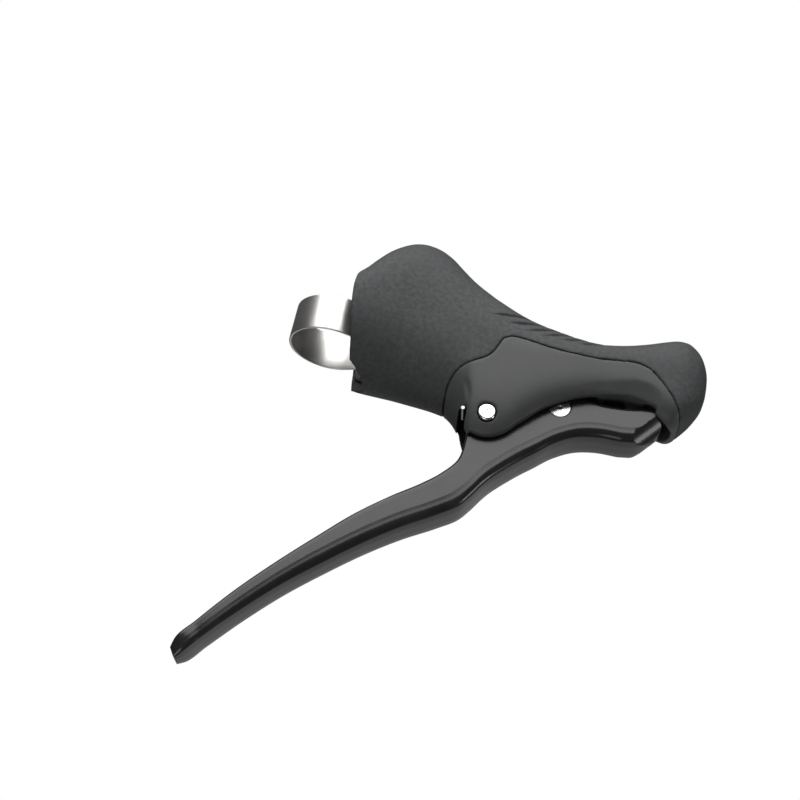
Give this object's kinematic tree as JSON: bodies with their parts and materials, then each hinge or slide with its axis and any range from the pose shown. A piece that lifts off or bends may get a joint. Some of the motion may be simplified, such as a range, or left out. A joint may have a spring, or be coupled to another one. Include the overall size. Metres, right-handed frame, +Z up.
{
  "type": "brake lever",
  "caption": "Right-hand drop-bar brake lever: rubber-hooded bracket with horn, sprung curved blade on a cross pin, cable anchor barrel and handlebar band clamp.",
  "frame": {"origin": "on the handlebar's axis at the middle of the clamp band", "axes": "+X forward along the grip to the horn, +Y to the rider's left across the lever, +Z up along the handlebar's tangent at the clamp"},
  "size_m": [0.1387, 0.0386, 0.1503],
  "materials": {
    "bracket_composite": "satin charcoal moulded composite, fine grain",
    "hood_rubber": "matte charcoal rubber, fine grain, short grip grooves",
    "blade_aluminium": "gloss black anodised aluminium",
    "pin_steel": "bright turned steel",
    "bush_polymer": "pale bearing plastic",
    "spring_steel": "drawn spring steel",
    "anchor_steel": "bright zinc plated steel",
    "band_steel": "stainless strap",
    "nut_steel": "zinc plated steel",
    "bolt_steel": "black oxide steel",
    "washer_steel": "zinc plated steel",
    "ferrule_aluminium": "plain aluminium",
    "pad_rubber": "black rubber"
  },
  "bodies": {
    "bracket": {"bracket_body": "bracket_composite", "rubber_hood": "hood_rubber", "pivot_pin": "pin_steel", "return_spring": "spring_steel", "clamp_band": "band_steel", "clamp_nut": "nut_steel", "clamp_bolt": "bolt_steel", "clamp_washer": "washer_steel", "housing_ferrule": "ferrule_aluminium", "lever_stop_pad": "pad_rubber"},
    "lever": {"lever_blade": "blade_aluminium", "pivot_bush_left": "bush_polymer", "pivot_bush_right": "bush_polymer"},
    "anchor": {"cable_anchor": "anchor_steel"}
  },
  "joints": [
    {"name": "lever_pull", "type": "hinge", "parent": "bracket", "child": "lever", "pos_m": [0.053, 0, -0.024], "axis": [0, 1, 0], "range_deg": [0, 22], "stiffness_Nm_per_rad": 0.12, "springref_deg": -45.84, "deforming": ["return_spring"]},
    {"name": "anchor_turn", "type": "hinge", "parent": "lever", "child": "anchor", "pos_m": [0.074, 0, -0.015], "axis": [0, 1, 0], "range_deg": [-25, 10]}
  ],
  "couplings": [
    {"joint": "anchor_turn", "follows": "lever_pull", "ratio": -0.72}
  ]
}
